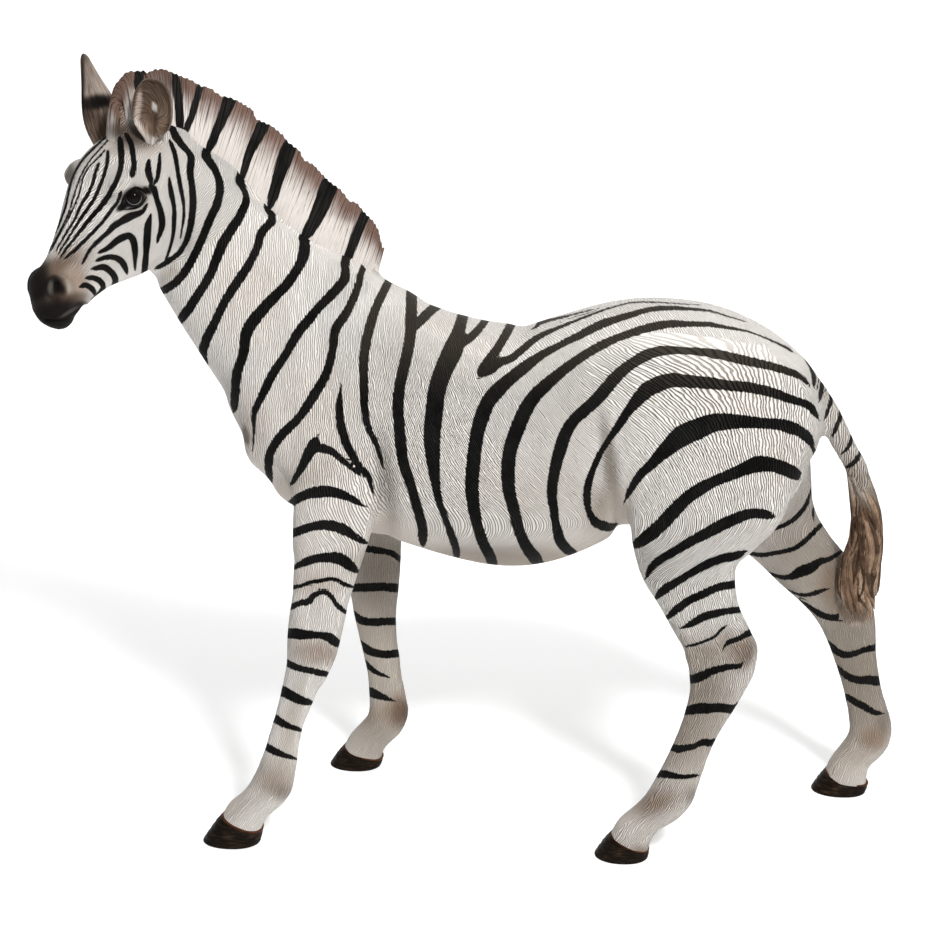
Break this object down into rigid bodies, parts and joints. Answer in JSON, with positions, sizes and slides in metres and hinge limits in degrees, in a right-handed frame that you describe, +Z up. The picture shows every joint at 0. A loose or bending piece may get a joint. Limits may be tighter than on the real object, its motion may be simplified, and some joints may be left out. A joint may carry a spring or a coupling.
{
  "type": "zebra figurine",
  "caption": "Painted cast zebra figure in a walking pose, head turned to its left, with upright bristly mane, tufted tail and set-in glass eyes.",
  "frame": {"origin": "bottom centre of the bounding box, on the floor under the soles of the hooves", "axes": "+Z up, the animal faces -X, its left side is towards -Y"},
  "size_m": [1.0838, 0.3624, 0.9994],
  "materials": {
    "painted_cast": "matte hand-painted cast resin, off-white with near-black stripes and brown shading",
    "eye_glass": "polished black glass"
  },
  "bodies": {
    "root": {"zebra": "painted_cast", "eye_left": "eye_glass", "eye_right": "eye_glass"}
  },
  "joints": []
}
